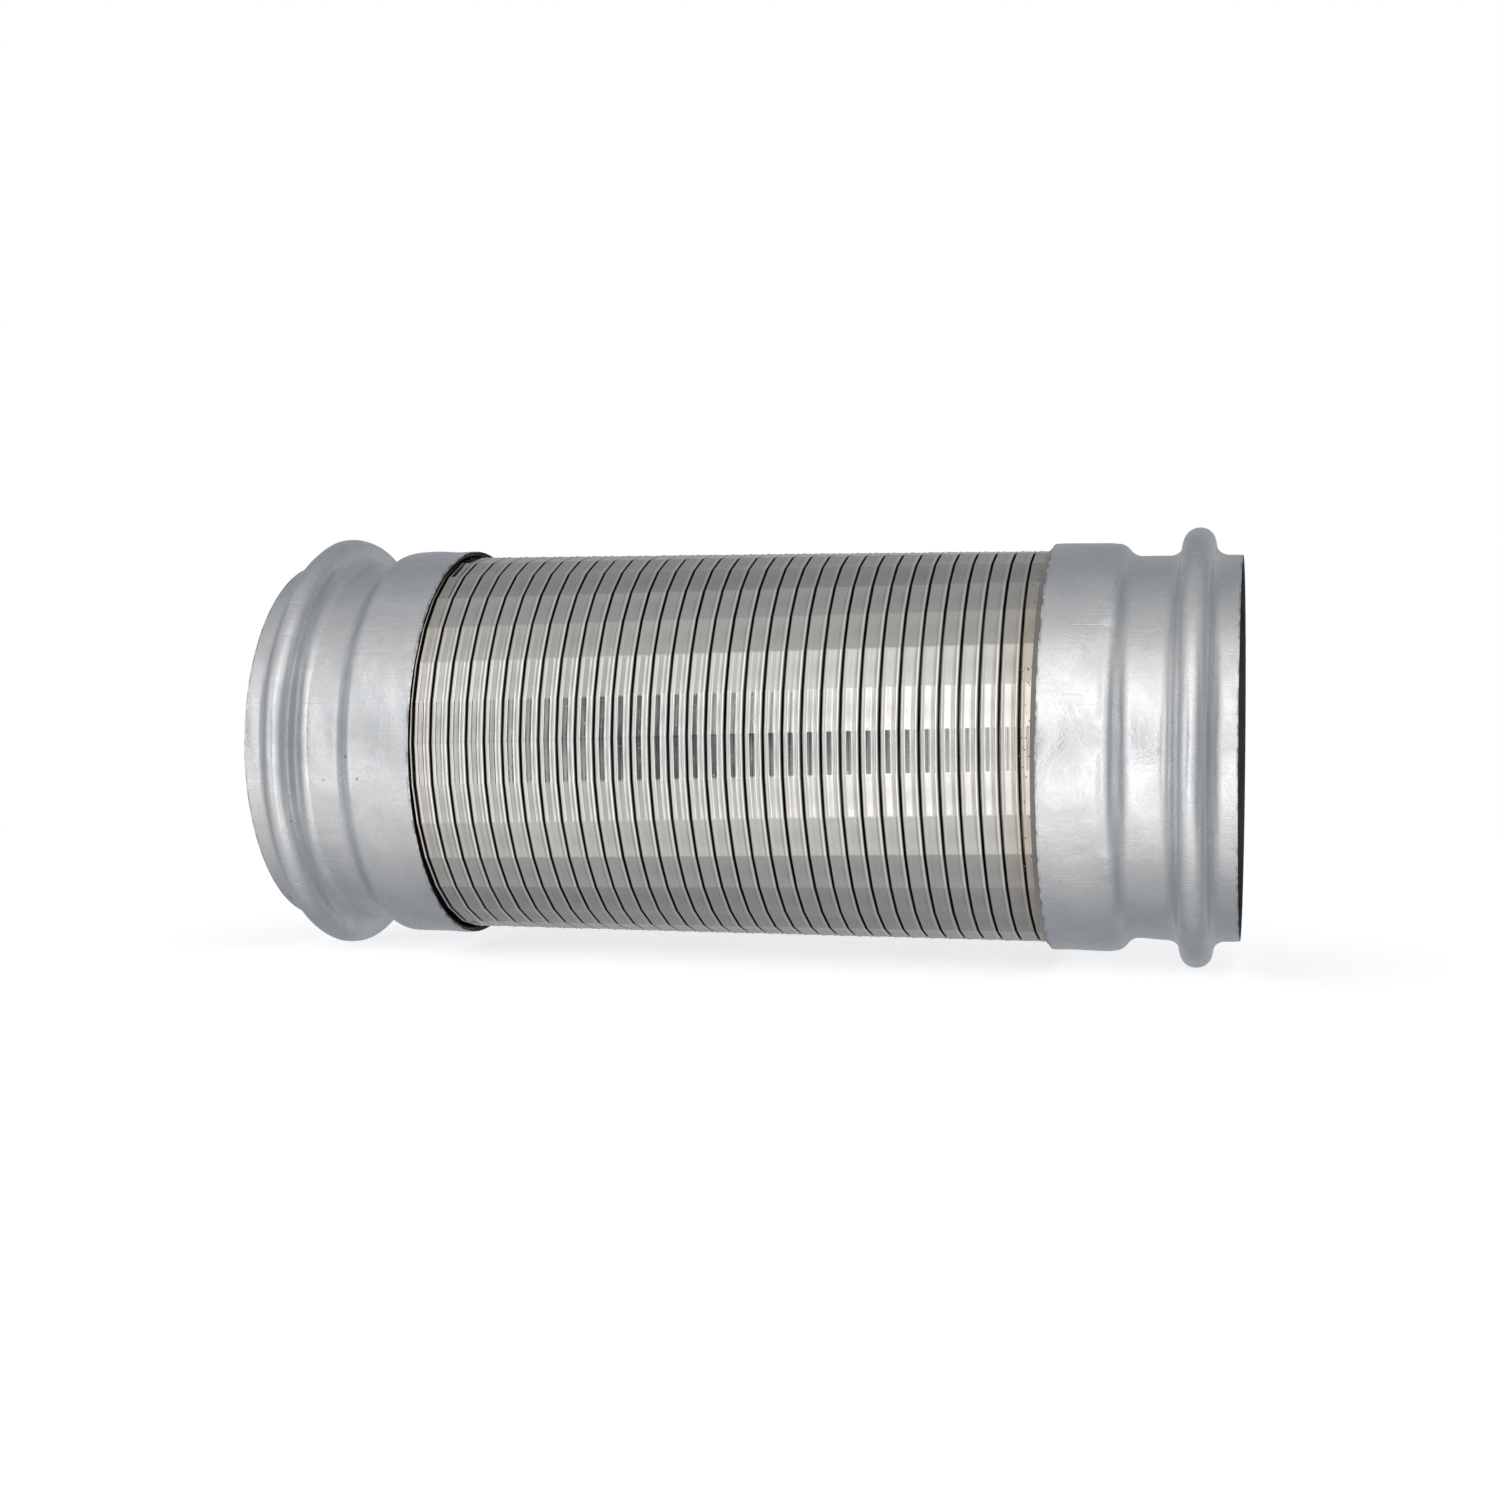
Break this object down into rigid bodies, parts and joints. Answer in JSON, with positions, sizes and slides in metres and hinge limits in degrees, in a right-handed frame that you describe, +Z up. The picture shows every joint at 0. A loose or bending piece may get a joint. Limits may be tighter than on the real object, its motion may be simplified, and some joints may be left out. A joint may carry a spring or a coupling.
{
  "type": "flexible exhaust joint",
  "caption": "Straight strip-wound interlocked metal hose with a sleeve, neck, rolled bead and lip on each end; it flexes and lengthens to take up pipe movement.",
  "frame": {"origin": "middle of the hose on its axis, half way between the two rims", "axes": "+X along the hose's axis to the right-hand end, +Z up, -Y is the front"},
  "size_m": [0.327, 0.1454, 0.1454],
  "materials": {
    "stainless_strip": "bright rolled stainless strip with fine marks along the strip, browned by heat near the weld",
    "aluminised_tube": "matt aluminised steel with soft sheen, fine scratches along the tube and small pits",
    "weld_metal": "rough weld metal with spatter and heat tint"
  },
  "bodies": {
    "left_end": {"left_end_tube": "aluminised_tube", "left_weld_ring": "weld_metal", "left_anchored_turns": "stainless_strip"},
    "turn_01": {"winding_01": "stainless_strip"},
    "turn_02": {"winding_02": "stainless_strip"},
    "turn_03": {"winding_03": "stainless_strip"},
    "turn_04": {"winding_04": "stainless_strip"},
    "turn_05": {"winding_05": "stainless_strip"},
    "turn_06": {"winding_06": "stainless_strip"},
    "turn_07": {"winding_07": "stainless_strip"},
    "turn_08": {"winding_08": "stainless_strip"},
    "turn_09": {"winding_09": "stainless_strip"},
    "turn_10": {"winding_10": "stainless_strip"},
    "turn_11": {"winding_11": "stainless_strip"},
    "turn_12": {"winding_12": "stainless_strip"},
    "turn_13": {"winding_13": "stainless_strip"},
    "turn_14": {"winding_14": "stainless_strip"},
    "turn_15": {"winding_15": "stainless_strip"},
    "turn_16": {"winding_16": "stainless_strip"},
    "turn_17": {"winding_17": "stainless_strip"},
    "turn_18": {"winding_18": "stainless_strip"},
    "turn_19": {"winding_19": "stainless_strip"},
    "turn_20": {"winding_20": "stainless_strip"},
    "turn_21": {"winding_21": "stainless_strip"},
    "turn_22": {"winding_22": "stainless_strip"},
    "turn_23": {"winding_23": "stainless_strip"},
    "turn_24": {"winding_24": "stainless_strip"},
    "turn_25": {"winding_25": "stainless_strip"},
    "turn_26": {"winding_26": "stainless_strip"},
    "turn_27": {"winding_27": "stainless_strip"},
    "turn_28": {"winding_28": "stainless_strip"},
    "turn_29": {"winding_29": "stainless_strip"},
    "turn_30": {"winding_30": "stainless_strip"},
    "turn_31": {"winding_31": "stainless_strip"},
    "turn_32": {"winding_32": "stainless_strip"},
    "right_end": {"right_anchored_turns": "stainless_strip", "right_weld_ring": "weld_metal", "right_end_tube": "aluminised_tube"}
  },
  "joints": [
    {"name": "seam_01_slide", "type": "slide", "parent": "left_end", "child": "turn_01", "axis": [1, 0, 0], "range_m": [-0.0006, 0.0026]},
    {"name": "seam_02_nod", "type": "hinge", "parent": "turn_01", "child": "turn_02", "pos_m": [-0.09567, 0, 0], "axis": [0, 1, 0], "range_deg": [-0.5, 0.5]},
    {"name": "seam_03_sway", "type": "hinge", "parent": "turn_02", "child": "turn_03", "pos_m": [-0.08943, 0, 0], "axis": [0, 0, 1], "range_deg": [-0.5, 0.5]},
    {"name": "seam_04_slide", "type": "slide", "parent": "turn_03", "child": "turn_04", "axis": [1, 0, 0], "range_m": [-0.0006, 0.0026]},
    {"name": "seam_05_nod", "type": "hinge", "parent": "turn_04", "child": "turn_05", "pos_m": [-0.07696, 0, 0], "axis": [0, 1, 0], "range_deg": [-0.5, 0.5]},
    {"name": "seam_06_sway", "type": "hinge", "parent": "turn_05", "child": "turn_06", "pos_m": [-0.07072, 0, 0], "axis": [0, 0, 1], "range_deg": [-0.5, 0.5]},
    {"name": "seam_07_slide", "type": "slide", "parent": "turn_06", "child": "turn_07", "axis": [1, 0, 0], "range_m": [-0.0006, 0.0026]},
    {"name": "seam_08_nod", "type": "hinge", "parent": "turn_07", "child": "turn_08", "pos_m": [-0.05825, 0, 0], "axis": [0, 1, 0], "range_deg": [-0.5, 0.5]},
    {"name": "seam_09_sway", "type": "hinge", "parent": "turn_08", "child": "turn_09", "pos_m": [-0.05201, 0, 0], "axis": [0, 0, 1], "range_deg": [-0.5, 0.5]},
    {"name": "seam_10_slide", "type": "slide", "parent": "turn_09", "child": "turn_10", "axis": [1, 0, 0], "range_m": [-0.0006, 0.0026]},
    {"name": "seam_11_nod", "type": "hinge", "parent": "turn_10", "child": "turn_11", "pos_m": [-0.03954, 0, 0], "axis": [0, 1, 0], "range_deg": [-0.5, 0.5]},
    {"name": "seam_12_sway", "type": "hinge", "parent": "turn_11", "child": "turn_12", "pos_m": [-0.0333, 0, 0], "axis": [0, 0, 1], "range_deg": [-0.5, 0.5]},
    {"name": "seam_13_slide", "type": "slide", "parent": "turn_12", "child": "turn_13", "axis": [1, 0, 0], "range_m": [-0.0006, 0.0026]},
    {"name": "seam_14_nod", "type": "hinge", "parent": "turn_13", "child": "turn_14", "pos_m": [-0.02083, 0, 0], "axis": [0, 1, 0], "range_deg": [-0.5, 0.5]},
    {"name": "seam_15_sway", "type": "hinge", "parent": "turn_14", "child": "turn_15", "pos_m": [-0.01459, 0, 0], "axis": [0, 0, 1], "range_deg": [-0.5, 0.5]},
    {"name": "seam_16_slide", "type": "slide", "parent": "turn_15", "child": "turn_16", "axis": [1, 0, 0], "range_m": [-0.0006, 0.0026]},
    {"name": "seam_17_nod", "type": "hinge", "parent": "turn_16", "child": "turn_17", "pos_m": [-0.00212, 0, 0], "axis": [0, 1, 0], "range_deg": [-0.5, 0.5]},
    {"name": "seam_18_sway", "type": "hinge", "parent": "turn_17", "child": "turn_18", "pos_m": [0.00412, 0, 0], "axis": [0, 0, 1], "range_deg": [-0.5, 0.5]},
    {"name": "seam_19_slide", "type": "slide", "parent": "turn_18", "child": "turn_19", "axis": [1, 0, 0], "range_m": [-0.0006, 0.0026]},
    {"name": "seam_20_nod", "type": "hinge", "parent": "turn_19", "child": "turn_20", "pos_m": [0.01659, 0, 0], "axis": [0, 1, 0], "range_deg": [-0.5, 0.5]},
    {"name": "seam_21_sway", "type": "hinge", "parent": "turn_20", "child": "turn_21", "pos_m": [0.02283, 0, 0], "axis": [0, 0, 1], "range_deg": [-0.5, 0.5]},
    {"name": "seam_22_slide", "type": "slide", "parent": "turn_21", "child": "turn_22", "axis": [1, 0, 0], "range_m": [-0.0006, 0.0026]},
    {"name": "seam_23_nod", "type": "hinge", "parent": "turn_22", "child": "turn_23", "pos_m": [0.0353, 0, 0], "axis": [0, 1, 0], "range_deg": [-0.5, 0.5]},
    {"name": "seam_24_sway", "type": "hinge", "parent": "turn_23", "child": "turn_24", "pos_m": [0.04154, 0, 0], "axis": [0, 0, 1], "range_deg": [-0.5, 0.5]},
    {"name": "seam_25_slide", "type": "slide", "parent": "turn_24", "child": "turn_25", "axis": [1, 0, 0], "range_m": [-0.0006, 0.0026]},
    {"name": "seam_26_nod", "type": "hinge", "parent": "turn_25", "child": "turn_26", "pos_m": [0.05402, 0, 0], "axis": [0, 1, 0], "range_deg": [-0.5, 0.5]},
    {"name": "seam_27_sway", "type": "hinge", "parent": "turn_26", "child": "turn_27", "pos_m": [0.06025, 0, 0], "axis": [0, 0, 1], "range_deg": [-0.5, 0.5]},
    {"name": "seam_28_slide", "type": "slide", "parent": "turn_27", "child": "turn_28", "axis": [1, 0, 0], "range_m": [-0.0006, 0.0026]},
    {"name": "seam_29_nod", "type": "hinge", "parent": "turn_28", "child": "turn_29", "pos_m": [0.07272, 0, 0], "axis": [0, 1, 0], "range_deg": [-0.5, 0.5]},
    {"name": "seam_30_sway", "type": "hinge", "parent": "turn_29", "child": "turn_30", "pos_m": [0.07896, 0, 0], "axis": [0, 0, 1], "range_deg": [-0.5, 0.5]},
    {"name": "seam_31_slide", "type": "slide", "parent": "turn_30", "child": "turn_31", "axis": [1, 0, 0], "range_m": [-0.0006, 0.0026]},
    {"name": "seam_32_nod", "type": "hinge", "parent": "turn_31", "child": "turn_32", "pos_m": [0.09144, 0, 0], "axis": [0, 1, 0], "range_deg": [-0.5, 0.5]},
    {"name": "seam_33_sway", "type": "hinge", "parent": "turn_32", "child": "right_end", "pos_m": [0.09767, 0, 0], "axis": [0, 0, 1], "range_deg": [-0.5, 0.5]}
  ],
  "couplings": [
    {"joint": "seam_04_slide", "follows": "seam_01_slide", "ratio": 1},
    {"joint": "seam_05_nod", "follows": "seam_02_nod", "ratio": 1},
    {"joint": "seam_06_sway", "follows": "seam_03_sway", "ratio": 1},
    {"joint": "seam_07_slide", "follows": "seam_01_slide", "ratio": 1},
    {"joint": "seam_08_nod", "follows": "seam_02_nod", "ratio": 1},
    {"joint": "seam_09_sway", "follows": "seam_03_sway", "ratio": 1},
    {"joint": "seam_10_slide", "follows": "seam_01_slide", "ratio": 1},
    {"joint": "seam_11_nod", "follows": "seam_02_nod", "ratio": 1},
    {"joint": "seam_12_sway", "follows": "seam_03_sway", "ratio": 1},
    {"joint": "seam_13_slide", "follows": "seam_01_slide", "ratio": 1},
    {"joint": "seam_14_nod", "follows": "seam_02_nod", "ratio": 1},
    {"joint": "seam_15_sway", "follows": "seam_03_sway", "ratio": 1},
    {"joint": "seam_16_slide", "follows": "seam_01_slide", "ratio": 1},
    {"joint": "seam_17_nod", "follows": "seam_02_nod", "ratio": 1},
    {"joint": "seam_18_sway", "follows": "seam_03_sway", "ratio": 1},
    {"joint": "seam_19_slide", "follows": "seam_01_slide", "ratio": 1},
    {"joint": "seam_20_nod", "follows": "seam_02_nod", "ratio": 1},
    {"joint": "seam_21_sway", "follows": "seam_03_sway", "ratio": 1},
    {"joint": "seam_22_slide", "follows": "seam_01_slide", "ratio": 1},
    {"joint": "seam_23_nod", "follows": "seam_02_nod", "ratio": 1},
    {"joint": "seam_24_sway", "follows": "seam_03_sway", "ratio": 1},
    {"joint": "seam_25_slide", "follows": "seam_01_slide", "ratio": 1},
    {"joint": "seam_26_nod", "follows": "seam_02_nod", "ratio": 1},
    {"joint": "seam_27_sway", "follows": "seam_03_sway", "ratio": 1},
    {"joint": "seam_28_slide", "follows": "seam_01_slide", "ratio": 1},
    {"joint": "seam_29_nod", "follows": "seam_02_nod", "ratio": 1},
    {"joint": "seam_30_sway", "follows": "seam_03_sway", "ratio": 1},
    {"joint": "seam_31_slide", "follows": "seam_01_slide", "ratio": 1},
    {"joint": "seam_32_nod", "follows": "seam_02_nod", "ratio": 1},
    {"joint": "seam_33_sway", "follows": "seam_03_sway", "ratio": 1}
  ]
}
